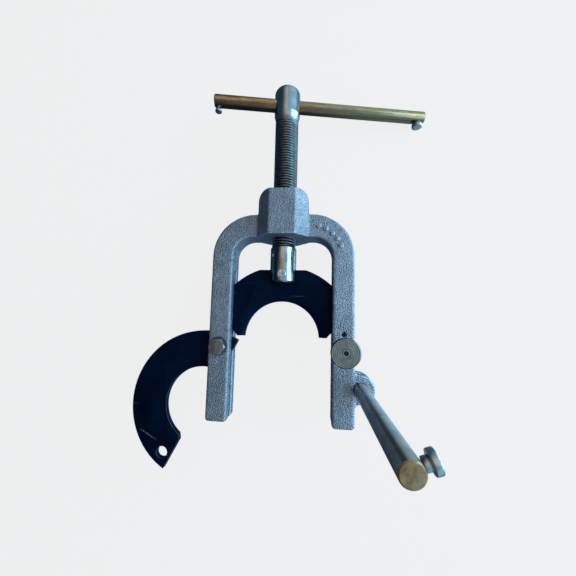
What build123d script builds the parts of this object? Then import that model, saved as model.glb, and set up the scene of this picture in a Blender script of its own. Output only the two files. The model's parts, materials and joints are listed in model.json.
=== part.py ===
from build123d import *
import math
import os

os.makedirs("parts", exist_ok=True)

# Frame: origin at the centre of the upper half ring, on the spindle axis, mid-way through the plates.
# +X to the latch side, +Y along the spindle to its head, +Z to the front. All sizes in mm.

# How far a cutter runs past the face that it cuts
CUT = 5.0

# Clearance between faces that never touch
FACE_GAP = 0.4

# Yoke casting
YOKE_HALF_WIDTH = 63.2
WINDOW_HALF_WIDTH = 44.4
YOKE_DEPTH = 22.0
LEG_END_Y = -71.0
ARCH_UNDERSIDE_Y = 90.0
ARCH_TOP_Y = 111.0
ARCH_OUTER_R = 38.0
ARCH_INNER_R = 17.0
YOKE_EDGE_R = 1.8
BOSS_TOP_Y = 131.0
BOSS_ACROSS = 45.0
BOSS_CORNER_CUT = 10.9
BOSS_TOP_R = 8.0
BOSS_TOP_BREAK = 1.0
LEG_END_R = 3.0
SLOT_WIDTH = 5.2
SLOT_TOP_Y = 61.0

# Lug for the side rod
LUG_X = 68.0
LUG_Y = -38.9
LUG_R = 11.8
LUG_DEPTH = 20.0
LUG_WEB_HALF = 12.5
LUG_WEB_STEP = 4.0
LUG_ROOT_DEPTH = 2.0
LUG_ROOT_SPREAD = 5.0
LUG_WEB_TIP_SHARE = 0.92

# Jaw plates
PLATE_T = 4.6
RING_R = 33.2
RING_OUTER_R = 65.3
BEVEL_WIDTH = 4.2
UPPER_FLAT_Y = 61.8
UPPER_HALF_WIDTH = 61.6
UPPER_END_Y = 1.8
END_RELIEF_R = 16.6
LOWER_RING_Y = 3.6
LOWER_RELIEF_X = 42.0
LOWER_END_Y = 1.0
LOWER_HEEL_Y = 4.0
LOWER_HEEL_LENGTH = 8.0
LOWER_CORNER_X = 3.6
LOWER_CORNER_Y = 2.6
OPEN_ANGLE = -117.7

# Pivot and latch line
PIVOT_X = 54.0
PIVOT_Y = -7.2
BOLT_R = 4.0
HEX_ACROSS = 13.0
HEX_HEAD_T = 5.3
NUT_T = 6.5
BOLT_TAIL = 2.0
HEX_DRESSING = 0.9
WASHER_R = 7.9
WASHER_T = 1.4
HOLE_PLAY = 0.15
RUN_PLAY = 0.05

# Latch pin
LATCH_R = 4.75
LATCH_HOLE_R = 5.0
LATCH_TIP_Z = 3.2
LATCH_HEAD_R = 11.9
LATCH_HEAD_Z = 23.2
LATCH_HEAD_T = 5.0
LATCH_SPIGOT_R = 3.0
LATCH_SPIGOT_LENGTH = 3.0
LATCH_TIP_BREAK = 0.6
LATCH_RIM_BREAK = 0.9
CENTRE_MARK_R = 1.7
CENTRE_MARK_TIP_R = 0.3
CENTRE_MARK_DEPTH = 1.4
GRUB_R = 2.0
GRUB_Y = 6.0
GRUB_DEPTH = 5.0
GRUB_SOCKET = 2.0
GRUB_SOCKET_DEPTH = 2.0
GRUB_SINK = 0.8

# Spindle
SPINDLE_R = 11.0
THREAD_TOP_Y = 204.0
HEAD_BOTTOM_Y = 211.0
HEAD_R = 12.2
HEAD_TOP_Y = 237.5
HEAD_SHOULDER_R = 4.8
NECK_UNDERCUT = 0.6
TAIL_R = 7.0
TAIL_GROOVE_R = 5.0
TAIL_GROOVE_Y = 74.0
TAIL_GROOVE_HALF = 2.2
TAIL_END_Y = 66.5

# Cross bar
BAR_Y = 222.3
BAR_R = 5.75
BAR_TURN = 10.2
BAR_BREAK = 0.8
BAR_LEFT = -69.4
BAR_RIGHT = 137.4
STOP_STEM_R = 1.7
STOP_INSET = 4.0
STOP_DROP = 5.2
STOP_FOOT_R = 3.1
STOP_FOOT_T = 1.6
PLUG_R = 5.0
PLUG_T = 3.6
PLUG_DROP = 1.0
PLUG_BREAK = 0.6

# Swivel nose
NOSE_R = 11.8
NOSE_TOP_Y = 82.5
NOSE_BOTTOM_Y = 50.0
NOSE_BREAK = 1.2
NOSE_SLOT = 4.8
NOSE_SLOT_TOP_Y = 62.2
NOSE_PIN_Y = 57.2
NOSE_PIN_R = 3.9
NOSE_PIN_STAND = 1.2
NOSE_PIN_BACK_STAND = 0.2
NOSE_PIN_BREAK = 0.5
KEEP_PIN_R = 2.0
KEEP_PIN_INSET = 0.3

# Side rod
ROD_R = 5.8
ROD_FRONT_Z = 130.2
ROD_BACK_Z = -15.5
ROD_BREAK = 0.7
CLIP_T = 1.2
CLIP_GAP = 0.6
CLIP_MOUTH_HALF = 1.6
CLIP_GROOVE_R = 4.9
CLIP_R = 8.0
KNOB_Z = 125.2
KNOB_TURN = 20.0
KNOB_STUB_R = 3.2
KNOB_STUB_END = 8.8
KNOB_R = 5.3
KNOB_THREAD_R = 1.9
KNOB_THREAD_LENGTH = 4.0
KNOB_THREAD_LAP = 0.5
KNOB_STUB_START = 6.0
KNOB_BREAK = 0.4
KNOB_T = 3.4


def along_z(radius, z_low, z_high, x=0.0, y=0.0):
    """Cylinder parallel to Z between two heights."""
    solid = Cylinder(radius, z_high - z_low)
    return Pos(x, y, (z_low + z_high) / 2) * solid


def along_y(radius, y_low, y_high):
    """Cylinder on the spindle axis between two stations."""
    solid = Rot(-90, 0, 0) * Cylinder(radius, y_high - y_low)
    return Pos(0, (y_low + y_high) / 2, 0) * solid


def block(low, high):
    """Box between two corners."""
    size = [b - a for a, b in zip(low, high)]
    centre = [(a + b) / 2 for a, b in zip(low, high)]
    return Pos(*centre) * Box(*size)


def plate(face, z_low, z_high):
    """Flat outline given a thickness along Z."""
    return Pos(0, 0, z_low) * extrude(face, amount=z_high - z_low)


def arch_outline(half_width, top_y, corner_r, bottom_y):
    """Rectangle with its two top corners rounded."""
    with BuildSketch() as sketch:
        with BuildLine():
            Polyline(
                (-half_width, top_y - corner_r),
                (-half_width, bottom_y),
                (half_width, bottom_y),
                (half_width, top_y - corner_r),
            )
            RadiusArc(
                (half_width, top_y - corner_r),
                (half_width - corner_r, top_y),
                -corner_r,
            )
            Line((half_width - corner_r, top_y), (corner_r - half_width, top_y))
            RadiusArc(
                (corner_r - half_width, top_y),
                (-half_width, top_y - corner_r),
                -corner_r,
            )
        make_face()
    return sketch.sketch


def boss_body():
    """Eight-sided boss with its two top side edges rounded over."""
    half = BOSS_ACROSS / 2
    near = half - BOSS_CORNER_CUT
    ring = [
        (-half, -near),
        (-near, -half),
        (near, -half),
        (half, -near),
        (half, near),
        (near, half),
        (-near, half),
        (-half, near),
    ]
    with BuildSketch(Plane.XZ) as sketch:
        Polygon(*ring, align=None)
    boss = extrude(sketch.sketch, amount=-(BOSS_TOP_Y - ARCH_UNDERSIDE_Y))
    boss = Pos(0, ARCH_UNDERSIDE_Y, 0) * boss
    profile = arch_outline(half, BOSS_TOP_Y, BOSS_TOP_R, ARCH_UNDERSIDE_Y)
    boss = boss & plate(profile, -half, half)
    top_edges = boss.faces().sort_by(Axis.Y)[-1].edges().filter_by(Axis.X)
    return chamfer(top_edges, BOSS_TOP_BREAK)


def lug_body():
    """Ear on the latch leg, blended into the leg by a tapering web."""
    ear = along_z(LUG_R, -LUG_DEPTH / 2, LUG_DEPTH / 2, LUG_X, LUG_Y)
    root_x = YOKE_HALF_WIDTH - LUG_ROOT_DEPTH
    step_x = root_x + LUG_WEB_STEP
    tip_x = LUG_X + LUG_WEB_STEP
    tip_half = LUG_R * LUG_WEB_TIP_SHARE
    root_half = LUG_R + LUG_ROOT_SPREAD
    with BuildSketch() as sketch:
        Polygon(
            (root_x, LUG_Y + root_half),
            (step_x, LUG_Y + LUG_WEB_HALF),
            (tip_x, LUG_Y + tip_half),
            (tip_x, LUG_Y - tip_half),
            (step_x, LUG_Y - LUG_WEB_HALF),
            (root_x, LUG_Y - root_half),
            align=None,
        )
    web = plate(sketch.sketch, -LUG_DEPTH / 2, LUG_DEPTH / 2)
    return ear + web


def yoke():
    half = YOKE_DEPTH / 2
    leg_x = (YOKE_HALF_WIDTH + WINDOW_HALF_WIDTH) / 2
    leg_width = YOKE_HALF_WIDTH - WINDOW_HALF_WIDTH
    outer = arch_outline(YOKE_HALF_WIDTH, ARCH_TOP_Y, ARCH_OUTER_R, LEG_END_Y)
    window = arch_outline(
        WINDOW_HALF_WIDTH, ARCH_UNDERSIDE_Y, ARCH_INNER_R, LEG_END_Y - CUT
    )
    frame = plate(outer, -half, half) - plate(window, -half - CUT, half + CUT)
    end_corners = frame.edges().filter_by(Axis.Z).group_by(Axis.Y)[0]
    frame = fillet(end_corners, LEG_END_R)
    frame = fillet(frame.edges().filter_by(Axis.Z, reverse=True), YOKE_EDGE_R)
    body = frame + boss_body() + lug_body()
    for side in (-1, 1):
        body -= block(
            (side * leg_x - leg_width, LEG_END_Y - CUT, -SLOT_WIDTH / 2),
            (side * leg_x + leg_width, SLOT_TOP_Y, SLOT_WIDTH / 2),
        )
    body -= along_y(SPINDLE_R + RUN_PLAY, ARCH_UNDERSIDE_Y - CUT, BOSS_TOP_Y + CUT)
    body -= along_z(BOLT_R + HOLE_PLAY, -half - CUT, half + CUT, -PIVOT_X, PIVOT_Y)
    body -= along_z(LATCH_R + RUN_PLAY, -half - CUT, half + CUT, PIVOT_X, PIVOT_Y)
    body -= along_z(GRUB_R, half - GRUB_DEPTH, half + CUT, PIVOT_X, GRUB_Y)
    body -= along_z(ROD_R + RUN_PLAY, -half - CUT, half + CUT, LUG_X, LUG_Y)
    return body


def bevelled_bore():
    """Round cutter for the upper half ring: a land at the back and a flare at the front."""
    land = along_z(RING_R, -PLATE_T, PLATE_T)
    flare = Cone(RING_R, RING_R + 2 * BEVEL_WIDTH, PLATE_T)
    return land + Pos(0, 0, PLATE_T / 2) * flare


def upper_jaw():
    half = PLATE_T / 2
    ring = along_z(RING_OUTER_R, -half, half)
    keep = block(
        (-UPPER_HALF_WIDTH, UPPER_END_Y, -half), (UPPER_HALF_WIDTH, UPPER_FLAT_Y, half)
    )
    jaw = (ring & keep) - bevelled_bore()
    for side in (-1, 1):
        jaw -= along_z(END_RELIEF_R, -PLATE_T, PLATE_T, side * PIVOT_X, PIVOT_Y)
    jaw -= along_z(NOSE_PIN_R, -PLATE_T, PLATE_T, 0, NOSE_PIN_Y)
    return jaw


def lower_jaw():
    """Built closed, then swung out about the pivot."""
    half = PLATE_T / 2
    ring = along_z(RING_OUTER_R, -half, half, 0, LOWER_RING_Y)
    reach = RING_OUTER_R + CUT
    with BuildSketch() as sketch:
        Polygon(
            (-reach, LOWER_HEEL_Y),
            (-RING_OUTER_R + LOWER_HEEL_LENGTH, LOWER_HEEL_Y),
            (-LOWER_RELIEF_X, LOWER_END_Y),
            (-RING_R - LOWER_CORNER_X, LOWER_END_Y),
            (-RING_R, LOWER_END_Y - LOWER_CORNER_Y),
            (0, LOWER_RING_Y - RING_R / 2),
            (RING_R, LOWER_END_Y - LOWER_CORNER_Y),
            (RING_R + LOWER_CORNER_X, LOWER_END_Y),
            (reach, LOWER_END_Y),
            (reach, -reach),
            (-reach, -reach),
            align=None,
        )
    keep = plate(sketch.sketch, -half, half)
    jaw = (ring & keep) - along_z(RING_R, -PLATE_T, PLATE_T, 0, LOWER_RING_Y)
    jaw -= along_z(BOLT_R + RUN_PLAY, -PLATE_T, PLATE_T, -PIVOT_X, PIVOT_Y)
    jaw -= along_z(LATCH_HOLE_R, -PLATE_T, PLATE_T, PIVOT_X, PIVOT_Y)
    to_pivot = Pos(-PIVOT_X, PIVOT_Y, 0)
    return to_pivot * Rot(0, 0, OPEN_ANGLE) * Pos(PIVOT_X, -PIVOT_Y, 0) * jaw


def spindle():
    shaft = along_y(SPINDLE_R, NOSE_TOP_Y + FACE_GAP, THREAD_TOP_Y)
    neck_y = (THREAD_TOP_Y + HEAD_BOTTOM_Y) / 2
    neck = Rot(-90, 0, 0) * Cone(
        SPINDLE_R - NECK_UNDERCUT, HEAD_R, HEAD_BOTTOM_Y - THREAD_TOP_Y
    )
    head = along_y(HEAD_R, HEAD_BOTTOM_Y, HEAD_TOP_Y)
    head = fillet(head.edges().group_by(Axis.Y)[-1], HEAD_SHOULDER_R)
    tail = along_y(TAIL_R, TAIL_END_Y, NOSE_TOP_Y + FACE_GAP)
    body = shaft + Pos(0, neck_y, 0) * neck + head + tail
    groove_low = TAIL_GROOVE_Y - TAIL_GROOVE_HALF
    groove_high = TAIL_GROOVE_Y + TAIL_GROOVE_HALF
    groove = along_y(TAIL_R + CUT, groove_low, groove_high)
    body -= groove - along_y(TAIL_GROOVE_R, groove_low, groove_high)
    return body - across_bar(BAR_R + RUN_PLAY, -HEAD_R * 2, HEAD_R * 2)


def across_bar(radius, start, end):
    """Cylinder on the cross bar's axis, which is turned about the spindle."""
    bar = Pos((start + end) / 2, 0, 0) * Rot(0, 90, 0) * Cylinder(radius, end - start)
    return Pos(0, BAR_Y, 0) * Rot(0, BAR_TURN, 0) * bar


def bar_place(distance):
    """Place on the cross bar's axis with local Y along the spindle."""
    return Pos(0, BAR_Y, 0) * Rot(0, BAR_TURN, 0) * Pos(distance, 0, 0)


def stop_bore(radius, distance):
    return bar_place(distance) * along_y(radius, -BAR_R * 2, 0)


def tommy_bar():
    bar = across_bar(BAR_R, BAR_LEFT, BAR_RIGHT)
    end_edges = bar.edges().filter_by(GeomType.CIRCLE)
    bar = chamfer(end_edges, BAR_BREAK)
    for distance in (BAR_LEFT + STOP_INSET, BAR_RIGHT - STOP_INSET - PLUG_R / 2):
        bar -= stop_bore(STOP_STEM_R, distance)
    return bar


def bar_stop_left():
    """Small headed stem hanging from the bar's short end."""
    reach = BAR_R + STOP_DROP
    stem = along_y(STOP_STEM_R, -reach + STOP_FOOT_T, 0)
    foot = along_y(STOP_FOOT_R, -reach, -reach + STOP_FOOT_T)
    return bar_place(BAR_LEFT + STOP_INSET) * (stem + foot)


def bar_stop_right():
    """Thick headed stem hanging from the bar's long end."""
    reach = BAR_R + PLUG_DROP + PLUG_T
    stem = along_y(STOP_STEM_R, -reach + PLUG_T, 0)
    plug = along_y(PLUG_R, -reach, -reach + PLUG_T)
    plug = chamfer(plug.edges().filter_by(GeomType.CIRCLE), PLUG_BREAK)
    return bar_place(BAR_RIGHT - STOP_INSET - PLUG_R / 2) * (stem + plug)


def swivel_nose():
    nose = along_y(NOSE_R, NOSE_BOTTOM_Y, NOSE_TOP_Y)
    nose = chamfer(nose.edges().filter_by(GeomType.CIRCLE), NOSE_BREAK)
    nose -= along_y(TAIL_R + RUN_PLAY, TAIL_END_Y - FACE_GAP, NOSE_TOP_Y + CUT)
    nose -= block(
        (-NOSE_R - CUT, NOSE_BOTTOM_Y - CUT, -NOSE_SLOT / 2),
        (NOSE_R + CUT, NOSE_SLOT_TOP_Y, NOSE_SLOT / 2),
    )
    nose -= along_z(NOSE_PIN_R, -NOSE_R - CUT, NOSE_R + CUT, 0, NOSE_PIN_Y)
    return nose - keep_pins()


def nose_pin():
    """Rough-ended cross pin through the nose and the upper plate."""
    front = NOSE_R + NOSE_PIN_STAND
    back = -NOSE_R - NOSE_PIN_BACK_STAND
    pin = along_z(NOSE_PIN_R, back, front, 0, NOSE_PIN_Y)
    return chamfer(pin.edges().filter_by(GeomType.CIRCLE), NOSE_PIN_BREAK)


def keep_pins():
    """Two pins that run in the tail groove on either side."""
    offset = TAIL_GROOVE_R + KEEP_PIN_R + RUN_PLAY
    length = 2 * (math.sqrt(NOSE_R**2 - offset**2) - KEEP_PIN_INSET)
    pin = Rot(0, 90, 0) * Cylinder(KEEP_PIN_R, length)
    pins = [Pos(0, TAIL_GROOVE_Y, side * offset) * pin for side in (-1, 1)]
    return pins[0] + pins[1]


def hexagon(across, height):
    with BuildSketch() as sketch:
        RegularPolygon(across / math.sqrt(3), 6)
    prism = extrude(sketch.sketch, amount=height)
    cone_r = across / math.sqrt(3)
    dressing = Pos(0, 0, height / 2) * Cylinder(cone_r, height)
    top_rim = dressing.edges().filter_by(GeomType.CIRCLE).sort_by(Axis.Z)[-1]
    return prism & chamfer(top_rim, HEX_DRESSING)


def pivot_bolt():
    front = YOKE_DEPTH / 2
    head = Pos(-PIVOT_X, PIVOT_Y, front) * hexagon(HEX_ACROSS, HEX_HEAD_T)
    back = -front - WASHER_T - NUT_T - BOLT_TAIL
    return head + along_z(BOLT_R, back, front, -PIVOT_X, PIVOT_Y)


def pivot_washer():
    top = -YOKE_DEPTH / 2
    ring = along_z(WASHER_R, top - WASHER_T, top, -PIVOT_X, PIVOT_Y)
    return ring - along_z(BOLT_R + HOLE_PLAY, top - CUT, top + CUT, -PIVOT_X, PIVOT_Y)


def pivot_nut():
    low = -YOKE_DEPTH / 2 - WASHER_T - NUT_T
    nut = Pos(0, 0, NUT_T) * Rot(180, 0, 0) * hexagon(HEX_ACROSS, NUT_T)
    nut = Pos(-PIVOT_X, PIVOT_Y, low) * nut
    return nut - along_z(BOLT_R, low - CUT, low + NUT_T + CUT, -PIVOT_X, PIVOT_Y)


def latch_pin():
    """Plain pin with a reduced spigot that carries the head."""
    pin = along_z(LATCH_R, LATCH_TIP_Z, LATCH_HEAD_Z, PIVOT_X, PIVOT_Y)
    tip = pin.edges().filter_by(GeomType.CIRCLE).sort_by(Axis.Z)[0]
    return chamfer(tip, LATCH_TIP_BREAK) + latch_spigot()


def latch_spigot():
    top = LATCH_HEAD_Z + LATCH_SPIGOT_LENGTH
    return along_z(LATCH_SPIGOT_R, LATCH_HEAD_Z, top, PIVOT_X, PIVOT_Y)


def latch_head():
    top = LATCH_HEAD_Z + LATCH_HEAD_T
    head = along_z(LATCH_HEAD_R, LATCH_HEAD_Z, top, PIVOT_X, PIVOT_Y)
    head = chamfer(head.edges().filter_by(GeomType.CIRCLE), LATCH_RIM_BREAK)
    mark_z = top - CENTRE_MARK_DEPTH / 2
    mark = Cone(CENTRE_MARK_TIP_R, CENTRE_MARK_R, CENTRE_MARK_DEPTH)
    return head - latch_spigot() - Pos(PIVOT_X, PIVOT_Y, mark_z) * mark


def latch_grub_screw():
    top = YOKE_DEPTH / 2 - GRUB_SINK
    low = YOKE_DEPTH / 2 - GRUB_DEPTH
    screw = along_z(GRUB_R, low, top, PIVOT_X, GRUB_Y)
    with BuildSketch() as sketch:
        RegularPolygon(GRUB_SOCKET / math.sqrt(3), 6)
    socket = extrude(sketch.sketch, amount=GRUB_SOCKET_DEPTH)
    return screw - Pos(PIVOT_X, GRUB_Y, top - GRUB_SOCKET_DEPTH) * socket


def knob_place():
    return Pos(LUG_X, LUG_Y, KNOB_Z) * Rot(0, 0, KNOB_TURN)


def guide_rod():
    rod = along_z(ROD_R, ROD_BACK_Z, ROD_FRONT_Z, LUG_X, LUG_Y)
    rod = chamfer(rod.edges().filter_by(GeomType.CIRCLE), ROD_BREAK)
    groove_top = -YOKE_DEPTH / 2 - CLIP_GAP
    groove_low = groove_top - CLIP_T
    groove = along_z(ROD_R + CUT, groove_low, groove_top, LUG_X, LUG_Y)
    rod -= groove - along_z(CLIP_GROOVE_R, groove_low, groove_top, LUG_X, LUG_Y)
    tapped = Rot(0, 90, 0) * Cylinder(KNOB_THREAD_R, ROD_R * 2)
    return rod - knob_place() * Pos(ROD_R, 0, 0) * tapped


def rod_clip():
    top = -YOKE_DEPTH / 2 - CLIP_GAP
    ring = along_z(CLIP_R, top - CLIP_T, top, LUG_X, LUG_Y)
    ring -= along_z(CLIP_GROOVE_R, top - CUT, top + CUT, LUG_X, LUG_Y)
    mouth = block(
        (LUG_X - CLIP_MOUTH_HALF, LUG_Y - CLIP_R - CUT, top - CUT),
        (LUG_X + CLIP_MOUTH_HALF, LUG_Y, top + CUT),
    )
    return ring - mouth


def knob_stub():
    """Shouldered screw in the rod's side."""
    stem = Rot(0, 90, 0) * Cylinder(KNOB_THREAD_R, KNOB_THREAD_LENGTH)
    stem = Pos(ROD_R - KNOB_THREAD_LENGTH / 2 + KNOB_THREAD_LAP, 0, 0) * stem
    body = Rot(0, 90, 0) * Cylinder(KNOB_STUB_R, KNOB_STUB_END - KNOB_STUB_START)
    body = Pos((KNOB_STUB_START + KNOB_STUB_END) / 2, 0, 0) * body
    return knob_place() * (stem + body)


def knob_disc():
    disc = Pos(KNOB_STUB_END + KNOB_T / 2, 0, 0) * Rot(0, 90, 0) * Cylinder(KNOB_R, KNOB_T)
    disc = chamfer(disc.edges().filter_by(GeomType.CIRCLE), KNOB_BREAK)
    return knob_place() * disc


PARTS = {
    "yoke": yoke,
    "upper_jaw": upper_jaw,
    "lower_jaw": lower_jaw,
    "spindle": spindle,
    "tommy_bar": tommy_bar,
    "bar_stop_left": bar_stop_left,
    "bar_stop_right": bar_stop_right,
    "swivel_nose": swivel_nose,
    "nose_pin": nose_pin,
    "nose_keep_pins": keep_pins,
    "pivot_bolt": pivot_bolt,
    "pivot_washer": pivot_washer,
    "pivot_nut": pivot_nut,
    "latch_pin": latch_pin,
    "latch_head": latch_head,
    "latch_grub_screw": latch_grub_screw,
    "guide_rod": guide_rod,
    "rod_clip": rod_clip,
    "knob_stub": knob_stub,
    "knob_disc": knob_disc,
}

for node, make in PARTS.items():
    export_step(make(), f"parts/{node}.step")
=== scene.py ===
import json
import math

import bmesh
import bpy
from mathutils import Matrix, Vector, noise

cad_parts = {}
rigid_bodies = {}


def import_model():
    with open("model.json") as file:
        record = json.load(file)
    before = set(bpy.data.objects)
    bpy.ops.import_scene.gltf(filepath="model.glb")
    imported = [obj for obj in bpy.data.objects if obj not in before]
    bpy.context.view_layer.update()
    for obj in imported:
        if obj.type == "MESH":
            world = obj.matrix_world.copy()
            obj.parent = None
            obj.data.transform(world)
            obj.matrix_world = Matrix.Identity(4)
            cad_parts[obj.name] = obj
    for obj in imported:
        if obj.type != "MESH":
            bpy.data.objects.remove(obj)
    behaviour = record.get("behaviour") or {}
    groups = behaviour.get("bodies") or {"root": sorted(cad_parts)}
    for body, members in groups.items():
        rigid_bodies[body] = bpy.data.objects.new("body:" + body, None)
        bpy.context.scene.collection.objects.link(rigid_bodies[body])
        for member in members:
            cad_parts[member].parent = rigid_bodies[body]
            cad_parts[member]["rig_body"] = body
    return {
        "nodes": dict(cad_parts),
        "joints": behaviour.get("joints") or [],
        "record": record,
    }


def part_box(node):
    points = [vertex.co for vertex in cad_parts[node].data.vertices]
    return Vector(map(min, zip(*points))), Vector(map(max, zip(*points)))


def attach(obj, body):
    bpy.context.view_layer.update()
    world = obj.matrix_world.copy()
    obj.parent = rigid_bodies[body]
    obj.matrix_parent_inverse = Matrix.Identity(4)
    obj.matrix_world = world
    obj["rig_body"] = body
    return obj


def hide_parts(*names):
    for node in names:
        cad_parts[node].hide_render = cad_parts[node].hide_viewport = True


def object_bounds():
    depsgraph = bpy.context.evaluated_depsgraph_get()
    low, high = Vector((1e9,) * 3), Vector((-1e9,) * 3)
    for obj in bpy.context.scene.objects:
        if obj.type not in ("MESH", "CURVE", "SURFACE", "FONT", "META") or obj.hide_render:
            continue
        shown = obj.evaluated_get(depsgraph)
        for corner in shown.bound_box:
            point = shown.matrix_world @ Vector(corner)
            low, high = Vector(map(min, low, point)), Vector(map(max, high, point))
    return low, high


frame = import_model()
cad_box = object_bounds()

MM = 0.001
WELD = 0.002 * MM
NODES = frame["nodes"]
JOINTS = {joint["name"]: joint for joint in frame["joints"]}
SLOTS = {part["node"]: part["material_slot"] for part in frame["record"]["subparts"]}

# Camera: place in metres, turns in degrees, lens and sensor in millimetres
CAMERA_AT = Vector((0.0293, 0.0221, 0.2461))
CAMERA_TURN = 5.67
CAMERA_TILT = -5.44
CAMERA_ROLL = 1.43
LENS_MM = 17.08
SENSOR_MM = 36.0
CLIP_START = 5.0 * MM

# Casting: the size of its skin's facets, the skin's roughness, and noise scales per metre
CAST_VOXEL = 0.8 * MM
CAST_ROUGH = 0.11 * MM
CAST_LUMPS = 150
CAST_SAND = 620
LUMP_SHARE = 0.6
SLOT_HALF = 3.2 * MM  # machined faces of the slots, left smooth
BOSS_BORE_R = 12.6 * MM  # machined bore for the screw, left smooth
BORE_PLAY = 0.25 * MM

# Casting studs on the arch: the row's arc, then one stud as shares of its radius and height
ARCH_FACE = 11.0 * MM
ARCH_CENTRE = Vector((25.2 * MM, 73.0 * MM, 0))
STUD_ROW_R = 27.6 * MM
STUD_COUNT = 5
STUD_FIRST = 76
STUD_STEP = 14
STUD_R = 2.3 * MM
STUD_HEIGHT = 1.5 * MM
STUD_WOBBLE = 0.05
STUD_AROUND = 28
STUD_PROFILE = ((1.0, -0.8), (0.97, 0.30), (0.88, 0.66), (0.70, 0.90), (0.42, 1.0), (0.15, 1.02))

# Spindle: the thread, with the shares of its pitch that are root and flank
THREAD_PITCH = 2.5 * MM
THREAD_DEPTH = 1.5 * MM
THREAD_R = 11.0 * MM
THREAD_TOP = 204.0 * MM
THREAD_RUNOUT = 2.2 * THREAD_PITCH
THREAD_START_GAP = 0.4 * MM
THREAD_ROOT = 0.10
THREAD_FLANK = 0.78
ROWS_PER_PITCH = 10
THREAD_AROUND = 72
TAIL_R = 7.0 * MM

# Spindle: the neck and the round-shouldered head
NECK_R = 10.4 * MM
NECK_FLARE = 1.15
HEAD_RIM = 211.0 * MM
HEAD_SHOULDER = 4.8 * MM
HEAD_AROUND = 96
HOLE_PLAY = 0.08 * MM
HOLE_EDGE = 0.35 * MM
DRILL_LENGTH = 60 * MM

# Nose pin: how far its end face is sunk, how deep it is torn, and tears per metre
PIN_FACE_DROP = 0.12 * MM
PIN_BITE = 0.25 * MM
PIN_TEARS = 900
PIN_AROUND = 48

# Latch head: grooves round its rim, turned rings on its face, a ring groove and a centre mark
RIM_GROOVES = 3
RIM_GROOVE_AT = 1.4 * MM
RIM_GROOVE_PITCH = 1.1 * MM
RIM_GROOVE_HALF = 0.4 * MM
RIM_CUT = 0.25 * MM
RIM_CHAMFER = 0.9 * MM
TURNED_PITCH = 1.65 * MM
TURNED_CREST = 0.04 * MM
TURNED_DEPTH = 0.10 * MM
FACE_ROWS = 40
FACE_LAND = 0.08 * MM
FACE_GROOVE_R = 3.9 * MM
FACE_GROOVE_DEPTH = 0.55 * MM
MARK_R = 1.7 * MM
MARK_DEPTH = 1.4 * MM
UNDERSIDE_R = 0.4 * MM
LATCH_AROUND = 96

# Distance between the rings of a wave texture of scale 1
RING_WAVE = math.pi / 10

# The long scratch near the lower jaw's free end; the front values fade it out behind the face
SCORE_AT = (-118.0 * MM, -88.3 * MM)
SCORE_TURN = -27.8
SCORE_HALF_LENGTH = 10 * MM
SCORE_HALF_WIDTH = 0.6 * MM
SCORE_FRONT = (1.5 * MM, 2.0 * MM)

# Nodes shown in their own shape, with their arrises broken by these widths where faces meet
# more sharply than the angle below
JAW_NODES = ("upper_jaw", "lower_jaw")
JAW_ARRIS = 0.30 * MM
BOLT_ARRIS = 0.35 * MM
SMALL_ARRIS = 0.22 * MM
ARRIS_ANGLE = math.radians(40)
FLAT_ANGLE = math.radians(0.5)
SMALL_NODES = (
    "swivel_nose",
    "pivot_nut",
    "pivot_washer",
    "tommy_bar",
    "bar_stop_left",
    "bar_stop_right",
    "latch_pin",
    "guide_rod",
    "knob_stub",
    "knob_disc",
)

# The room's colour by bearing about the spindle: 0 is straight ahead of the clamp's front,
# positive bearings lie on the latch side.
ROOM = (
    (-180, (0.02, 0.05, 0.11)),
    (-90, (0.022, 0.065, 0.135)),
    (-40, (0.025, 0.06, 0.10)),
    (-22, (0.25, 0.24, 0.22)),
    (4, (0.58, 0.56, 0.50)),
    (14, (0.34, 0.38, 0.41)),
    (24, (0.34, 0.68, 0.96)),
    (86, (0.42, 0.84, 1.10)),
    (106, (0.16, 0.32, 0.45)),
    (160, (0.30, 0.58, 0.80)),
    (180, (0.05, 0.10, 0.17)),
)

# Lamps: name, place, size, power in watts and colour
LAMP_AIM = Vector((0, 0.05, 0))
LAMPS = (
    ("window_right", (0.85, 0.15, 0.12), (1.0, 1.4), 17.0, (0.42, 0.75, 1.0)),
    ("ceiling", (0.15, 0.45, 0.95), (1.1, 0.8), 0.7, (1.0, 0.98, 0.95)),
)

# Stage, in metres
FLOOR_HALF = 6.0
FLOOR_GAP = 0.2 * MM
DOME_R = 5.5
PAPER_GLOW = 0.83


# ---------------------------------------------------------------- shaders


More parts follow.
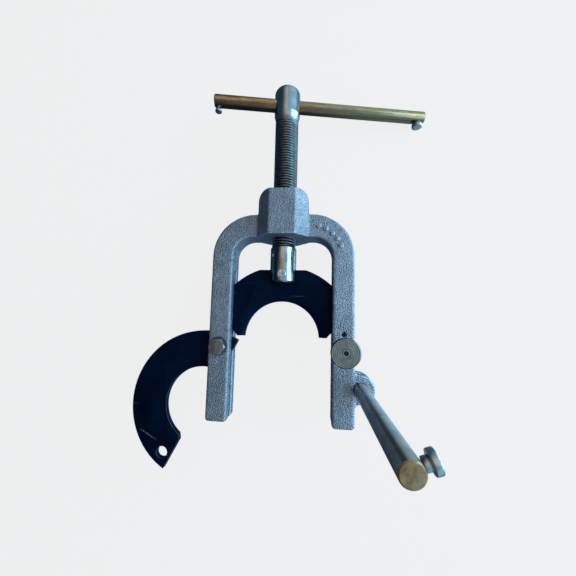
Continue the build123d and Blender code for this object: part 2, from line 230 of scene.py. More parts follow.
class Finish:
    """A Principled material and short calls that add nodes to it."""

    def __init__(self, name, **constants):
        self.material = bpy.data.materials.new(name)
        self.material.use_nodes = True
        self.tree = self.material.node_tree
        self.shader = self.tree.nodes["Principled BSDF"]
        for socket, value in constants.items():
            self.shader.inputs[socket.replace("_", " ")].default_value = value
        self.place = self.add("ShaderNodeTexCoord").outputs["Object"]

    def add(self, kind, **settings):
        node = self.tree.nodes.new(kind)
        for key, value in settings.items():
            setattr(node, key, value)
        return node

    def join(self, output, target):
        self.tree.links.new(output, target)

    def moved(self, shift=(0, 0, 0), turn=(0, 0, 0), stretch=(1, 1, 1)):
        """Object coordinates stretched, turned by degrees and shifted."""
        node = self.add("ShaderNodeMapping")
        node.inputs["Location"].default_value = shift
        node.inputs["Rotation"].default_value = [math.radians(a) for a in turn]
        node.inputs["Scale"].default_value = stretch
        self.join(self.place, node.inputs["Vector"])
        return node.outputs["Vector"]

    def grain(self, scale, detail=4.0, where=None):
        """Cloudy noise, its scale in repeats per metre."""
        node = self.add("ShaderNodeTexNoise")
        node.inputs["Scale"].default_value = scale
        node.inputs["Detail"].default_value = detail
        node.inputs["Roughness"].default_value = 0.55
        self.join(where or self.place, node.inputs["Vector"])
        return node.outputs["Fac"]

    def bands(self, scale):
        """Tool lines across the spindle's direction."""
        node = self.add("ShaderNodeTexWave", wave_type="BANDS", bands_direction="Y")
        node.inputs["Scale"].default_value = scale
        self.join(self.place, node.inputs["Vector"])
        return node.outputs["Fac"]

    def rings(self, centre, pitch):
        """Turned rings round a line through the centre parallel to Z."""
        node = self.add("ShaderNodeTexWave", wave_type="RINGS", rings_direction="Z")
        node.inputs["Scale"].default_value = RING_WAVE / pitch
        self.join(self.moved(shift=[-c for c in centre]), node.inputs["Vector"])
        return node.outputs["Fac"]

    def cells(self, scale):
        """Distance to the edges of small irregular cells."""
        node = self.add("ShaderNodeTexVoronoi", feature="DISTANCE_TO_EDGE")
        node.inputs["Scale"].default_value = scale
        self.join(self.place, node.inputs["Vector"])
        return node.outputs["Distance"]

    def span(self, value, low, high, out_low=0.0, out_high=1.0):
        """The value's range from low to high, mapped to another range and held at its ends."""
        node = self.add("ShaderNodeMapRange")
        limits = (low, high, out_low, out_high)
        for socket, limit in zip(("From Min", "From Max", "To Min", "To Max"), limits):
            node.inputs[socket].default_value = limit
        self.join(value, node.inputs["Value"])
        return node.outputs["Result"]

    def maths(self, operation, first, second=0.0):
        node = self.add("ShaderNodeMath", operation=operation)
        for socket, value in zip(node.inputs, (first, second)):
            if isinstance(value, (int, float)):
                socket.default_value = value
            else:
                self.join(value, socket)
        return node.outputs["Value"]

    def axis(self, letter):
        node = self.add("ShaderNodeSeparateXYZ")
        self.join(self.place, node.inputs["Vector"])
        return node.outputs[letter]

    def away(self, centre):
        """Distance from the line through a centre parallel to Z."""
        node = self.add("ShaderNodeVectorMath", operation="LENGTH")
        flat = self.moved(shift=(-centre.x, -centre.y, 0), stretch=(1, 1, 0))
        self.join(flat, node.inputs["Vector"])
        return node.outputs["Value"]

    def score(self, centre, turn, half_length, half_width):
        """Mask of one straight scratch on a plate's front face, broken up and faded at its ends."""
        angle = math.radians(turn)
        x = centre[0] * math.cos(angle) + centre[1] * math.sin(angle)
        y = centre[1] * math.cos(angle) - centre[0] * math.sin(angle)
        node = self.add("ShaderNodeSeparateXYZ")
        self.join(self.moved(shift=(-x, -y, 0), turn=(0, 0, -turn)), node.inputs["Vector"])
        along = self.maths("ABSOLUTE", node.outputs["X"])
        across = self.maths("ABSOLUTE", node.outputs["Y"])
        near = self.span(across, 0.4 * half_width, half_width, 1.0, 0.0)
        inside = self.span(along, 0.5 * half_length, half_length, 1.0, 0.0)
        front = self.span(self.axis("Z"), *SCORE_FRONT)
        broken = self.span(self.grain(700, 2), 0.35, 0.55, 0.25, 1.0)
        line = self.maths("MULTIPLY", near, inside)
        return self.maths("MULTIPLY", self.maths("MULTIPLY", line, front), broken)

    def edge(self, low, high):
        """How far a point stands on an outside edge, from 0 to 1."""
        return self.span(self.add("ShaderNodeNewGeometry").outputs["Pointiness"], low, high)

    def ramp(self, value, *stops):
        """Colours along a value, each stop given as (position, colour)."""
        node = self.add("ShaderNodeValToRGB")
        fill_ramp(node.color_ramp, stops)
        self.join(value, node.inputs["Fac"])
        return node.outputs["Color"]

    def blend(self, share, first, second):
        """Goes from the first colour to the second as the share rises."""
        node = self.add("ShaderNodeMix", data_type="RGBA")
        colours = [s for s in node.inputs if s.type == "RGBA"]
        self.join(share, node.inputs["Factor"])
        for socket, value in zip(colours, (first, second)):
            if isinstance(value, tuple):
                socket.default_value = (*value, 1.0)
            else:
                self.join(value, socket)
        return next(s for s in node.outputs if s.type == "RGBA")

    def relief(self, *layers):
        """Stacks bumps given as (height, strength, distance in metres)."""
        normal = None
        for height, strength, distance in layers:
            node = self.add("ShaderNodeBump")
            node.inputs["Strength"].default_value = strength
            node.inputs["Distance"].default_value = distance
            self.join(height, node.inputs["Height"])
            if normal:
                self.join(normal, node.inputs["Normal"])
            normal = node.outputs["Normal"]
        self.join(normal, self.shader.inputs["Normal"])

    def paint(self, colour, roughness=None):
        self.join(colour, self.shader.inputs["Base Color"])
        if roughness:
            self.join(roughness, self.shader.inputs["Roughness"])
        return self.material


def fill_ramp(ramp, stops):
    """Gives a colour ramp its stops, each (position, colour)."""
    while len(ramp.elements) < len(stops):
        ramp.elements.new(0.5)
    for element, (at, colour) in zip(ramp.elements, stops):
        element.position = at
        element.color = (*colour, 1.0)


def darker(colour, share):
    return tuple(share * channel for channel in colour)


def box_centre(node):
    low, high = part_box(node)
    return (low + high) / 2


def cast_iron():
    """Sand-cast skin: bluish grey, pitted, brighter on rubbed edges, with painted shade round the
    pivot bolt's head.
    """
    f = Finish("yoke_cast", Metallic=0.85)
    dull_grey, pale_grey = (0.28, 0.285, 0.33), (0.40, 0.395, 0.435)
    soot, bare = (0.09, 0.105, 0.14), (0.62, 0.70, 0.78)
    pit_dirt, bolt_shade_black = (0.05, 0.06, 0.09), (0.03, 0.035, 0.045)
    blotch = f.grain(70, 4)
    skin = f.grain(820, 3)
    sand = f.grain(1600, 3)
    pits = f.span(skin, 0.34, 0.46)
    body = f.ramp(blotch, (0.3, dull_grey), (0.72, pale_grey))
    sooty = f.blend(f.span(f.grain(210, 5), 0.52, 0.74, 0.0, 0.4), body, soot)
    rubbed = f.blend(f.edge(0.515, 0.57), sooty, bare)
    pitted = f.blend(f.span(pits, 0, 1, 0.32, 0.0), rubbed, pit_dirt)
    # Painted shade: a dark ring on the skin round the pivot bolt's head.
    painted_bolt_shade = f.span(f.away(box_centre("pivot_bolt")), 7.2 * MM, 9.2 * MM, 0.8, 0.0)
    colour = f.blend(painted_bolt_shade, pitted, bolt_shade_black)
    f.relief((skin, 0.9, 1.1 * MM), (sand, 0.4, 0.3 * MM), (pits, 0.3, 0.25 * MM))
    return f.paint(colour, f.span(skin, 0.3, 0.7, 0.34, 0.52))


def black_plate():
    """Blackened plate: milling lines, handling smears, dust specks and long scratches."""
    f = Finish("jaw_black", Specular_IOR_Level=0.09, Specular_Tint=(0.25, 0.55, 1.0, 1.0))
    black, smeared = (0.0006, 0.0030, 0.012), (0.0015, 0.0075, 0.026)
    dust, bare, scored = (0.06, 0.08, 0.10), (0.16, 0.19, 0.22), (0.13, 0.19, 0.25)
    smear = f.grain(38, 5)
    lines = f.grain(420, 3, f.moved(turn=(0, 0, 38), stretch=(0.06, 1, 1)))
    scratch_place = f.moved(turn=(0, 0, -38), stretch=(0.05, 1, 1))
    scratch = f.span(f.grain(230, 2, scratch_place), 0.715, 0.76)
    body = f.ramp(smear, (0.3, black), (0.75, smeared))
    speck = f.span(f.grain(900, 2), 0.70, 0.76, 0.0, 0.5)
    dusty = f.blend(f.maths("MULTIPLY", speck, 0.35), body, dust)
    scratched = f.blend(f.maths("MULTIPLY", scratch, 0.6), dusty, bare)
    long_scratch = f.score(SCORE_AT, SCORE_TURN, SCORE_HALF_LENGTH, SCORE_HALF_WIDTH)
    colour = f.blend(long_scratch, scratched, scored)
    f.relief((lines, 0.12, 0.08 * MM), (f.grain(800, 4), 0.10, 0.08 * MM))
    return f.paint(colour, f.span(smear, 0.25, 0.8, 0.38, 0.55))


def plate_edge():
    """The black plates' rubbed arrises, where the blacking has worn thin."""
    f = Finish("jaw_edge", Metallic=0.25)
    rub = f.grain(300, 4)
    colour = f.ramp(rub, (0.35, (0.008, 0.014, 0.028)), (0.72, (0.07, 0.10, 0.14)))
    f.relief((f.grain(900, 3), 0.15, 0.05 * MM))
    return f.paint(colour, f.span(rub, 0.3, 0.7, 0.30, 0.5))


def along_bar(name, turn, light, dark, deep, roughness):
    """Drawn or plated bar: streaks along its length, dull patches and small dings."""
    f = Finish(name, Metallic=1.0)
    streaks = f.grain(900, 4, f.moved(turn=turn, stretch=(0.02, 1, 1)))
    patches = f.grain(60, 4, f.moved(turn=turn, stretch=(0.35, 1, 1)))
    body = f.ramp(streaks, (0.28, dark), (0.68, light))
    dull = f.blend(f.span(patches, 0.50, 0.72, 0.0, 0.75), body, deep)
    dings = f.span(f.grain(520, 3), 0.66, 0.74, 0.0, 0.8)
    colour = f.blend(dings, dull, darker(deep, 0.35))
    f.relief((streaks, 0.18, 0.10 * MM), (f.grain(300, 3), 0.12, 0.15 * MM))
    return f, colour, f.span(patches, 0.3, 0.75, *roughness)


def zinc_bar(low, high):
    """Yellow zinc plate with streaks along the bar, with painted shade underneath and warmer to the
    right.
    """
    yellow, olive, brown = (0.72, 0.47, 0.25), (0.28, 0.19, 0.09), (0.13, 0.10, 0.07)
    amber, painted_dark = (0.62, 0.36, 0.15), (0.10, 0.07, 0.05)
    f, colour, rough = along_bar("bar_zinc", (0, -10.2, 0), yellow, olive, brown, (0.2, 0.42))
    rightward = f.span(f.axis("X"), 0.0, 60 * MM, 0.0, 0.45)
    warmed = f.blend(rightward, colour, amber)
    streaks = f.grain(95, 4, f.moved(stretch=(0.12, 1.6, 1.0)))
    # Painted shade: the bar is darkened along its lower side, with a ragged edge.
    rise = f.maths("SUBTRACT", f.axis("Y"), (low.y + high.y) / 2)
    ragged = f.maths("ADD", rise, f.span(streaks, 0.3, 0.7, -1.6 * MM, 1.6 * MM))
    under = f.span(ragged, -2.4 * MM, 0.2 * MM, 0.72, 0.0)
    return f.paint(f.blend(under, warmed, painted_dark), rough)


def drawn_rod(low, high):
    """Drawn rod: grey by the lug, browned towards its rusty front face, with a painted dark
    reflection line along it.
    """
    pale, grey, dark = (0.72, 0.64, 0.62), (0.50, 0.44, 0.44), (0.38, 0.33, 0.31)
    brown, painted_dark = (0.40, 0.32, 0.20), (0.05, 0.055, 0.06)
    dark_rust, light_rust = (0.24, 0.13, 0.07), (0.54, 0.33, 0.16)
    line_bearing = 2.05
    f, clean, rough = along_bar("rod_steel", (0, 90, 0), pale, grey, dark, (0.26, 0.44))
    f.shader.inputs["Metallic"].default_value = 0.45
    along = f.span(f.axis("Z"), high.z - 45 * MM, high.z - 3 * MM, 0.0, 0.6)
    browned = f.blend(along, clean, brown)
    # Painted reflection: a dark line along the rod at one bearing round its axis.
    centre = (low + high) / 2
    side = f.maths("SUBTRACT", f.axis("X"), centre.x)
    rise = f.maths("SUBTRACT", f.axis("Y"), centre.y)
    bearing = f.maths("ARCTAN2", rise, side)
    line = f.maths("ABSOLUTE", f.maths("SUBTRACT", bearing, line_bearing))
    lined = f.blend(f.span(line, 0.10, 0.30, 0.8, 0.0), browned, painted_dark)
    face = f.span(f.axis("Z"), high.z - 0.9 * MM, high.z - 0.5 * MM)
    rust = f.ramp(f.grain(420, 5), (0.3, dark_rust), (0.7, light_rust))
    return f.paint(f.blend(face, lined, rust), rough)


def nose_steel():
    """Steel turned about the spindle: tool lines, small nicks and painted shade on its left front.
    """
    f = Finish("nose_steel", Metallic=1.0)
    light, dark, deep_tone = (0.54, 0.54, 0.52), (0.30, 0.30, 0.31), (0.05, 0.07, 0.11)
    stain = f.grain(110, 5)
    body = f.ramp(stain, (0.32, dark), (0.66, light))
    nicked = f.blend(f.span(f.grain(420, 3), 0.64, 0.74, 0, 0.8), body, darker(dark, 0.3))
    # Painted shade: the nose's left front is darkened.
    leftward = f.span(f.axis("X"), -3.0 * MM, -1.0 * MM, 0.75, 0.0)
    painted_left_shade = f.maths("MULTIPLY", leftward, f.span(f.axis("Z"), 0.0, 3.0 * MM))
    colour = f.blend(painted_left_shade, nicked, deep_tone)
    f.relief((f.bands(520), 0.16, 0.05 * MM), (f.grain(700, 3), 0.08, 0.08 * MM))
    return f.paint(colour, f.span(stain, 0.3, 0.7, 0.16, 0.30))


def faced_disc(centre):
    """The latch head: a face turned in coarse rings, with painted shade in the grooves and in the
    centre mark.
    """
    f = Finish("latch_steel", Metallic=0.9)
    dull, clean = (0.21, 0.23, 0.23), (0.36, 0.38, 0.37)
    groove_shade, mark_shade = (0.09, 0.095, 0.09), (0.02, 0.02, 0.02)
    rings = f.rings(centre, TURNED_PITCH)
    stain = f.grain(140, 5)
    body = f.ramp(stain, (0.3, dull), (0.7, clean))
    # Painted shade: the turned grooves are darkened.
    grooved = f.blend(f.span(rings, 0.05, 0.45, 0.65, 0.0), body, groove_shade)
    # Painted shade: the centre mark is filled nearly black.
    mark = f.span(f.away(centre), 1.6 * MM, 2.0 * MM, 0.95, 0.0)
    colour = f.blend(mark, grooved, mark_shade)
    f.relief((rings, 0.5, 0.25 * MM), (f.grain(900, 3), 0.12, 0.08 * MM))
    return f.paint(colour, f.span(stain, 0.3, 0.7, 0.26, 0.44))


def spindle_steel():
    """Polished head above an oily, dark thread with rubbed crests."""
    f = Finish("spindle_steel", Metallic=1.0)
    grey, bright_grey = (0.34, 0.35, 0.36), (0.56, 0.56, 0.56)
    deep_tone, thin_oil = (0.055, 0.05, 0.045), (0.24, 0.25, 0.27)
    rubbed, root_dirt = (0.58, 0.56, 0.52), (0.012, 0.014, 0.018)
    polished = f.span(f.axis("Y"), THREAD_TOP, THREAD_TOP + 4 * MM)
    bright = f.ramp(f.grain(130, 5), (0.3, grey), (0.7, bright_grey))
    oily = f.ramp(f.grain(260, 5), (0.3, deep_tone), (0.7, thin_oil))
    crest = f.blend(f.edge(0.51, 0.60), oily, rubbed)
    thread = f.blend(f.edge(0.42, 0.50), root_dirt, crest)
    colour = f.blend(polished, thread, bright)
    f.relief((f.bands(900), 0.10, 0.05 * MM), (f.grain(650, 4), 0.16, 0.10 * MM))
    return f.paint(colour, f.span(polished, 0, 1, 0.40, 0.22))


def plain_steel(name, light, dark, roughness):
    """Small plated, blackened or bare steel part with stains and nicks."""
    f = Finish(name, Metallic=1.0)
    stain = f.grain(260, 5)
    body = f.ramp(stain, (0.3, dark), (0.7, light))
    nicks = f.span(f.grain(520, 3), 0.62, 0.74, 0.0, 0.7)
    colour = f.blend(nicks, body, darker(dark, 0.35))
    f.relief((f.grain(1100, 4), 0.25, 0.12 * MM), (f.cells(700), 0.05, 0.05 * MM))
    return f.paint(colour, f.span(stain, 0.3, 0.7, *roughness))


def cut_pin(front):
    """Pin stock: dull on its sides, scored and brighter on the nose pin's cut front end."""
    f = Finish("pin_steel", Metallic=0.8)
    dull_dark, dull_light = (0.16, 0.15, 0.14), (0.46, 0.44, 0.40)
    cut_dark, cut_light = (0.20, 0.21, 0.23), (0.76, 0.76, 0.78)
    stain = f.grain(260, 5)
    scores = f.grain(600, 4)
    dull = f.ramp(stain, (0.3, dull_dark), (0.7, dull_light))
    cut = f.ramp(scores, (0.38, cut_dark), (0.60, cut_light))
    colour = f.blend(f.span(f.axis("Z"), front - 1.2 * MM, front - 0.8 * MM), dull, cut)
    f.relief((scores, 0.35, 0.15 * MM))
    return f.paint(colour, f.span(stain, 0.3, 0.7, 0.35, 0.6))


FINISHES = {
    "yoke_cast": cast_iron(),
    "jaw_black": black_plate(),
    "jaw_edge": plate_edge(),
    "spindle_steel": spindle_steel(),
    "bar_zinc": zinc_bar(*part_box("tommy_bar")),
    "stop_steel": plain_steel("stop_steel", (0.64, 0.64, 0.60), (0.30, 0.31, 0.31), (0.25, 0.45)),
    "nose_steel": nose_steel(),
    "pin_steel": cut_pin(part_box("nose_pin")[1].z),
    "bolt_steel": plain_steel("bolt_steel", (0.40, 0.42, 0.42), (0.13, 0.15, 0.17), (0.24, 0.42)),
    "latch_steel": faced_disc(box_centre("latch_head")),
    "grub_black": plain_steel("grub_black", (0.07, 0.075, 0.09), (0.02, 0.02, 0.03), (0.3, 0.5)),
    "rod_steel": drawn_rod(*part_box("guide_rod")),
}


# ---------------------------------------------------------------- mesh helpers


def placed(name, data):
    """A new object in the scene that holds this data."""
    piece = bpy.data.objects.new(name, data)
    bpy.context.scene.collection.objects.link(piece)
    return piece


def built(name, bm):
    """A new object in the scene made from mesh data, which is then freed."""
    mesh = bpy.data.meshes.new(name)
    bm.to_mesh(mesh)
    bm.free()
    return placed(name, mesh)


def smoothed(piece, sharp_degrees):
    """Smooth shading that stays sharp at edges turning by more than this angle."""
    piece.data.shade_smooth()
    piece.data.set_sharp_from_angle(angle=math.radians(sharp_degrees))


def finish_piece(piece, body, slot, sharp_degrees):
    """Gives a piece its shading and finish, and rides it on a body."""
    smoothed(piece, sharp_degrees)
    piece.data.materials.clear()
    piece.data.materials.append(FINISHES[slot])
    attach(piece, body)


def shown(name, bm, body, slot, sharp_degrees):
    """Turns mesh data into a piece that rides on a body."""
    bm.normal_update()
    piece = built(name, bm)
    finish_piece(piece, body, slot, sharp_degrees)
    return piece


def applied(piece):
    """Bakes the modifiers of a piece into its mesh."""
    bpy.context.view_layer.update()
    ready = piece.evaluated_get(bpy.context.evaluated_depsgraph_get())
    mesh = bpy.data.meshes.new_from_object(ready)
    piece.modifiers.clear()
    piece.data = mesh


def copy_of_node(node, name):
    """A new closed mesh with the node's shape."""
    bm = bmesh.new()
    bm.from_mesh(NODES[node].data)
    bmesh.ops.remove_doubles(bm, verts=bm.verts, dist=WELD)
    return built(name, bm)


def ring_rows(bm, rows):
    """Skins a closed tube through rows of points, each row a full turn, and caps both ends."""
    around = len(rows[0])
    rings = [[bm.verts.new(point) for point in row] for row in rows]
    for lower, upper in zip(rings, rings[1:]):
        for i in range(around):
            j = (i + 1) % around
            bm.faces.new((lower[i], lower[j], upper[j], upper[i]))
    for ring in (rings[0], rings[-1]):
        centre = bm.verts.new(sum((v.co for v in ring), Vector()) / around)
        for i in range(around):
            bm.faces.new((ring[i], ring[(i + 1) % around], centre))
    bmesh.ops.recalc_face_normals(bm, faces=bm.faces)


def spindle_row(y, radius_at, around):
    """One turn of points round the spindle's axis at height y."""
    points = []
    for i in range(around):
        angle = 2 * math.pi * i / around
        radius = radius_at(y, angle)
        points.append(Vector((radius * math.cos(angle), y, -radius * math.sin(angle))))
    return points


def spokes(around):
    """Unit directions spread evenly round Z."""
    turns = (2 * math.pi * i / around for i in range(around))
    return [Vector((math.cos(turn), math.sin(turn), 0)) for turn in turns]


def clamped(value):
    return min(1.0, max(0.0, value))


# ---------------------------------------------------------------- pieces


def clear_bore(node):
    """Axis and radius of a bore that keeps clear of the sliding pin in it."""
    low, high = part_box(node)
    centre = box_centre(node)
    return centre.x, centre.y, (high.x - low.x) / 2 + BORE_PLAY


def casting():
    """The yoke as a casting: softened, uneven skin, with clean machined slots and bores."""
    piece = copy_of_node("yoke", "yoke_casting")
    remesh = piece.modifiers.new("skin", "REMESH")
    remesh.mode = "VOXEL"
    remesh.voxel_size = CAST_VOXEL
    soften = piece.modifiers.new("soften", "SMOOTH")
    soften.factor = 0.5
    soften.iterations = 3
    applied(piece)
    bores = [clear_bore(node) for node in ("latch_pin", "guide_rod")]
    places = [vertex.co.copy() for vertex in piece.data.vertices]
    normals = [vertex.normal.copy() for vertex in piece.data.vertices]
    moved = []
    for place, normal in zip(places, normals):
        machined = abs(place.z) < SLOT_HALF or math.hypot(place.x, place.z) < BOSS_BORE_R
        wave = LUMP_SHARE * noise.noise(place * CAST_LUMPS) + noise.noise(place * CAST_SAND)
        skin = place if machined else place + normal * wave * CAST_ROUGH
        for x, y, radius in bores:
            out = Vector((skin.x - x, skin.y - y, 0))
            if 0 < out.length < radius:
                skin = skin + out * (radius / out.length - 1)
        moved.extend(skin)
    piece.data.vertices.foreach_set("co", moved)
    piece.data.update()
    finish_piece(piece, "yoke", "yoke_cast", sharp_degrees=60)
    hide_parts("yoke")


def thread_radius(y, angle):
    """The helical thread's surface, which runs out to a plain neck at its top."""
    phase = (y / THREAD_PITCH + angle / (2 * math.pi)) % 1.0
    tooth = clamped((abs(phase - 0.5) * 2 - THREAD_ROOT) / THREAD_FLANK)
    fade = clamped((THREAD_TOP - y) / THREAD_RUNOUT)
    return THREAD_R - THREAD_DEPTH * (1 - tooth) * fade


def screw_thread():
    """The spindle's plain tail and its shank with a real helical thread."""
    tail_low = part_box("spindle")[0].y
    thread_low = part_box("swivel_nose")[1].y + THREAD_START_GAP
    tail_high = thread_low - 0.05 * MM
    rows = [spindle_row(y, lambda *_: TAIL_R, THREAD_AROUND) for y in (tail_low, tail_high)]
    length = THREAD_TOP - thread_low
    count = round(length / THREAD_PITCH * ROWS_PER_PITCH)
    for k in range(count + 1):
        rows.append(spindle_row(thread_low + length * k / count, thread_radius, THREAD_AROUND))
    bm = bmesh.new()
    ring_rows(bm, rows)
    piece = shown("spindle_thread", bm, "spindle", "spindle_steel", sharp_degrees=40)
    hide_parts("spindle")


def head_profile(head_r, top):
    """Height and radius of the neck's flare, the head's straight side and its round shoulder."""
    flare_steps, side_steps, shoulder_steps = 7, 5, 12
    flare_high = HEAD_RIM - 0.6 * MM
    flare_r = head_r - 0.25 * MM
    straight = top - HEAD_SHOULDER
    profile = [(THREAD_TOP - 1.0 * MM, NECK_R - 0.6 * MM), (THREAD_TOP + 0.2 * MM, NECK_R)]
    for k in range(1, flare_steps + 1):
        share = k / flare_steps
        at = THREAD_TOP + (flare_high - THREAD_TOP) * share
        profile.append((at, NECK_R + (flare_r - NECK_R) * share**NECK_FLARE))
    profile += [(HEAD_RIM + 0.2 * MM, head_r), (HEAD_RIM + 1.2 * MM, head_r)]
    for k in range(1, side_steps + 1):
        profile.append((HEAD_RIM + (straight - HEAD_RIM) * k / side_steps, head_r))
    for k in range(1, shoulder_steps + 1):
        turn = math.radians(90 * k / shoulder_steps)
        at = straight + HEAD_SHOULDER * math.sin(turn)
        profile.append((at, head_r - HEAD_SHOULDER * (1 - math.cos(turn))))
    profile.append((top, (head_r - HEAD_SHOULDER) * 0.5))
    return profile


def screw_head():
    """The turned neck and the round-shouldered head, drilled for the cross bar."""
    low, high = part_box("spindle")
    profile = head_profile((high.x - low.x) / 2, high.y)
    rows = [spindle_row(y, lambda *_, r=r: r, HEAD_AROUND) for y, r in profile]
    bm = bmesh.new()
    ring_rows(bm, rows)
    piece = shown("spindle_head", bm, "spindle", "spindle_steel", sharp_degrees=40)
    drill_cross_hole(piece)


def bar_matrix():
    """Local X along the cross bar, local Y along the spindle, origin on the spindle axis."""
    along = Vector(JOINTS["bar_slide"]["axis"]).normalized()
    up = Vector((0, 1, 0))
    turn = Matrix((along, up, along.cross(up))).transposed().to_4x4()
    return Matrix.Translation((0, box_centre("tommy_bar").y, 0)) @ turn


def drill_cross_hole(piece):
    """Cuts the bar's hole and breaks its edges."""
    bar_low, bar_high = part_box("tommy_bar")
    radius = (bar_high.y - bar_low.y) / 2 + HOLE_PLAY
    place = bar_matrix() @ Matrix.Rotation(math.pi / 2, 4, "Y")
    bm = bmesh.new()
    shape = {"radius1": radius, "radius2": radius, "depth": DRILL_LENGTH, "matrix": place}
    bmesh.ops.create_cone(bm, cap_ends=True, segments=64, **shape)
    drill = built("drill", bm)
    cut = piece.modifiers.new("hole", "BOOLEAN")
    cut.operation = "DIFFERENCE"
    cut.object = drill
    cut.solver = "EXACT"
    applied(piece)
    bpy.data.objects.remove(drill)
    soften = piece.modifiers.new("edge", "BEVEL")
    soften.width = HOLE_EDGE
    soften.segments = 2
    soften.angle_limit = ARRIS_ANGLE
    applied(piece)
    smoothed(piece, sharp_degrees=40)


def arch_studs():
    """A row of plain raised casting studs on the arch's latch side."""
    bm = bmesh.new()
    for k in range(STUD_COUNT):
        angle = math.radians(STUD_FIRST - STUD_STEP * k)
        centre = ARCH_CENTRE + Vector((math.cos(angle), math.sin(angle), 0)) * STUD_ROW_R
        uneven = Vector((0, 0, k * 3.1))
        rows = []
        for share, lift in STUD_PROFILE:
            rise = Vector((0, 0, ARCH_FACE + STUD_HEIGHT * lift))
            row = []
            for spoke in spokes(STUD_AROUND):
                wobble = 1 + STUD_WOBBLE * noise.noise(spoke + uneven)
                row.append(centre + spoke * STUD_R * share * wobble + rise)
            rows.append(row)
        ring_rows(bm, rows)
    shown("arch_studs", bm, "yoke", "yoke_cast", sharp_degrees=75)


def sawn_pin_end():
    """The nose pin, with a chamfered, torn front end."""
    low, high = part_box("nose_pin")
    centre = box_centre("nose_pin")
    radius = (high.x - low.x) / 2
    # Each row: how torn it is, its share of the radius, and its height
    profile = [(0.0, 0.9, low.z), (0.0, 1.0, low.z + 0.4 * MM), (0.0, 1.0, high.z - 0.9 * MM)]
    profile += [(0.5, 0.97, high.z - 0.45 * MM), (1.0, 0.9, high.z - 0.2 * MM)]
    profile += [(1.0, share, high.z - PIN_FACE_DROP) for share in (0.75, 0.6, 0.45, 0.3, 0.15)]
    uneven = Vector((0, 0, 7))
    rows = []
    for torn, share, z in profile:
        middle = Vector((centre.x, centre.y, z))
        row = []
        for spoke in spokes(PIN_AROUND):
            flat = spoke * radius * share
            bite = PIN_BITE * noise.noise((flat + uneven) * PIN_TEARS) * torn
            row.append(middle + flat + Vector((0, 0, bite)))
        rows.append(row)
    bm = bmesh.new()
    ring_rows(bm, rows)
    piece = shown("nose_pin_sawn", bm, "carriage", "pin_steel", sharp_degrees=30)
    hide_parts("nose_pin")


def latch_profile(radius, low, high):
    """Radius and height along the latch head, from its underside to its centre mark."""
    profile = [(UNDERSIDE_R, low), (radius - RIM_CHAMFER, low), (radius - 0.2 * MM, low + 0.5 * MM)]
    for k in range(RIM_GROOVES):
        z = low + RIM_GROOVE_AT + RIM_GROOVE_PITCH * k
        profile += [(radius, z - RIM_GROOVE_HALF), (radius - RIM_CUT, z)]
        profile.append((radius, z + RIM_GROOVE_HALF))
    profile += [(radius - RIM_CUT, high - 0.5 * MM), (radius - RIM_CHAMFER, high - 0.02 * MM)]
    outer = radius - 1.0 * MM
    inner = FACE_GROOVE_R + 0.2 * MM
    for k in range(FACE_ROWS + 1):
        at = outer + (inner - outer) * k / FACE_ROWS
        dip = 0.5 - 0.5 * math.cos(2 * math.pi * at / TURNED_PITCH)
        profile.append((at, high - TURNED_CREST - TURNED_DEPTH * dip))
    groove_floor = high - FACE_GROOVE_DEPTH
    land = high - FACE_LAND
    profile += [(FACE_GROOVE_R, groove_floor), (FACE_GROOVE_R - 0.7 * MM, groove_floor)]
    profile += [(FACE_GROOVE_R - 0.9 * MM, land), (MARK_R + 0.15 * MM, land)]
    profile += [(MARK_R, high - 0.3 * MM), (MARK_R * 0.85, high - 1.2 * MM)]
    profile.append((MARK_R * 0.25, high - MARK_DEPTH))
    return profile


def turned_latch_head():
    """The latch head: grooves round the rim, turned rings on the face, and a centre mark."""
    low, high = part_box("latch_head")
    centre = box_centre("latch_head")
    rows = []
    for radius, z in latch_profile((high.x - low.x) / 2, low.z, high.z):
        middle = Vector((centre.x, centre.y, z))
        rows.append([middle + spoke * radius for spoke in spokes(LATCH_AROUND)])
    bm = bmesh.new()
    ring_rows(bm, rows)
    piece = shown("latch_head_turned", bm, "latch", "latch_steel", sharp_degrees=28)
    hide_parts("latch_head")


def softened(node, width, edge_slot=None):
    """A node's own shape with its sharp arrises broken, so that they catch the light."""
    piece = copy_of_node(node, node + "_finished")
    bm = bmesh.new()
    bm.from_mesh(piece.data)
    bmesh.ops.dissolve_limit(
        bm, angle_limit=FLAT_ANGLE, verts=bm.verts, edges=bm.edges, delimit={"NORMAL"}
    )
    bm.to_mesh(piece.data)
    bm.free()
    piece.data.materials.append(FINISHES[SLOTS[node]])
    if edge_slot:
        piece.data.materials.append(FINISHES[edge_slot])
    soften = piece.modifiers.new("edge", "BEVEL")
    soften.width = width
    soften.segments = 2
    soften.limit_method = "ANGLE"
    soften.angle_limit = ARRIS_ANGLE
    soften.material = 1 if edge_slot else -1
    applied(piece)
    smoothed(piece, sharp_degrees=50)
    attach(piece, NODES[node]["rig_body"])
    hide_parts(node)


def dress_nodes():
    """Gives every carried-over CAD node its finish."""
    for node, piece in NODES.items():
        piece.data.materials.clear()
        piece.data.materials.append(FINISHES[SLOTS[node]])


# ---------------------------------------------------------------- stage


def camera():
    """A camera above the clamp's front that looks down on it, turned, tilted and rolled."""
    turn, tilt, roll = (math.radians(a) for a in (CAMERA_TURN, CAMERA_TILT, CAMERA_ROLL))
    panned = Matrix.Rotation(tilt, 4, "X") @ Matrix.Rotation(-turn, 4, "Y")
    look = Matrix.Rotation(-roll, 4, "Z") @ panned
    data = bpy.data.cameras.new("camera")
    data.lens = LENS_MM
    data.sensor_width = SENSOR_MM
    data.clip_start = CLIP_START
    piece = placed("camera", data)
    piece.matrix_world = Matrix.Translation(CAMERA_AT) @ look.inverted()
    bpy.context.scene.camera = piece


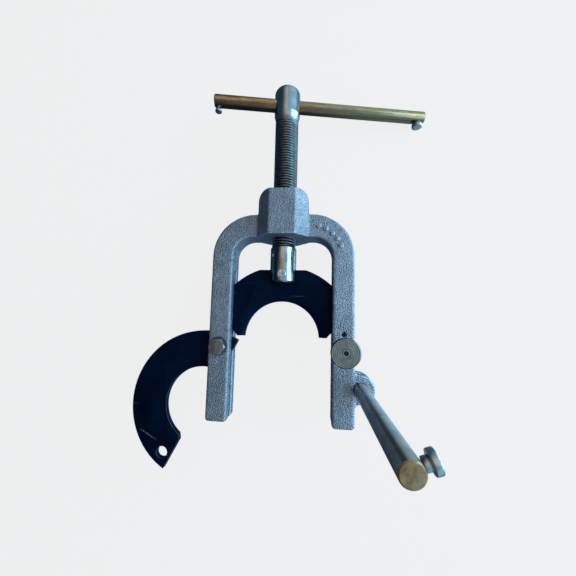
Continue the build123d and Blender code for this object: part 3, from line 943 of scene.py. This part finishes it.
def lights():
    """Soft rectangular lamps, all aimed at the middle of the clamp."""
    for name, place, size, power, colour in LAMPS:
        data = bpy.data.lights.new(name, "AREA")
        data.shape = "RECTANGLE"
        data.size, data.size_y = size
        data.energy = power
        data.color = colour
        lamp = placed(name, data)
        lamp.location = place
        lamp.rotation_euler = (LAMP_AIM - Vector(place)).to_track_quat("-Z", "Y").to_euler()


def surroundings():
    """A room seen round the clamp's long axis: pale ahead, a blue window side, dark elsewhere."""
    world = bpy.data.worlds.new("room")
    world.use_nodes = True
    tree = world.node_tree
    place = tree.nodes.new("ShaderNodeTexCoord")
    split = tree.nodes.new("ShaderNodeSeparateXYZ")
    tree.links.new(place.outputs["Generated"], split.inputs["Vector"])
    bearing = tree.nodes.new("ShaderNodeMath")
    bearing.operation = "ARCTAN2"
    tree.links.new(split.outputs["X"], bearing.inputs[0])
    tree.links.new(split.outputs["Z"], bearing.inputs[1])
    spread = tree.nodes.new("ShaderNodeMapRange")
    spread.inputs["From Min"].default_value = -math.pi
    spread.inputs["From Max"].default_value = math.pi
    tree.links.new(bearing.outputs["Value"], spread.inputs["Value"])
    walls = tree.nodes.new("ShaderNodeValToRGB")
    walls.color_ramp.interpolation = "EASE"
    fill_ramp(walls.color_ramp, [(degrees / 360 + 0.5, colour) for degrees, colour in ROOM])
    tree.links.new(spread.outputs["Result"], walls.inputs["Fac"])
    tree.links.new(walls.outputs["Color"], tree.nodes["Background"].inputs["Color"])
    bpy.context.scene.world = world


def paper(name):
    """The stage's plain pale paper, which lights nothing and shows in no reflection."""
    f = Finish(name, Roughness=0.9, Specular_IOR_Level=0.0)
    f.shader.inputs["Emission Strength"].default_value = PAPER_GLOW
    f.shader.inputs["Emission Color"].default_value = (1.0, 1.0, 1.0, 1.0)
    return f.paint(f.ramp(f.grain(30, 3), (0.3, (0.05, 0.05, 0.05)), (0.7, (0.052, 0.052, 0.052))))


def staged(name, bm, finish):
    """A piece of the stage that neither lights the clamp nor shows in its reflections."""
    piece = built(name, bm)
    piece.data.materials.append(finish)
    piece.visible_diffuse = False
    piece.visible_glossy = False
    return piece


def floor():
    """A wide pale floor just below the clamp."""
    bm = bmesh.new()
    bmesh.ops.create_grid(bm, x_segments=1, y_segments=1, size=FLOOR_HALF)
    piece = staged("floor", bm, paper("floor_paper"))
    piece.location.z = cad_box[0][2] - FLOOR_GAP


def backdrop():
    """A pale dome beyond the clamp, seen only by the camera."""
    bm = bmesh.new()
    bmesh.ops.create_uvsphere(bm, u_segments=64, v_segments=32, radius=DOME_R)
    piece = staged("backdrop", bm, paper("backdrop_paper"))
    piece.visible_shadow = False


bpy.context.scene.view_settings.view_transform = "Standard"
dress_nodes()
camera()
lights()
surroundings()
floor()
backdrop()
casting()
screw_thread()
screw_head()
arch_studs()
sawn_pin_end()
turned_latch_head()
for jaw_node in JAW_NODES:
    softened(jaw_node, JAW_ARRIS, "jaw_edge")
# The pivot bolt's broken arrises take the paler stop steel as a painted highlight round its hex.
softened("pivot_bolt", BOLT_ARRIS, "stop_steel")
for small_node in SMALL_NODES:
    softened(small_node, SMALL_ARRIS)
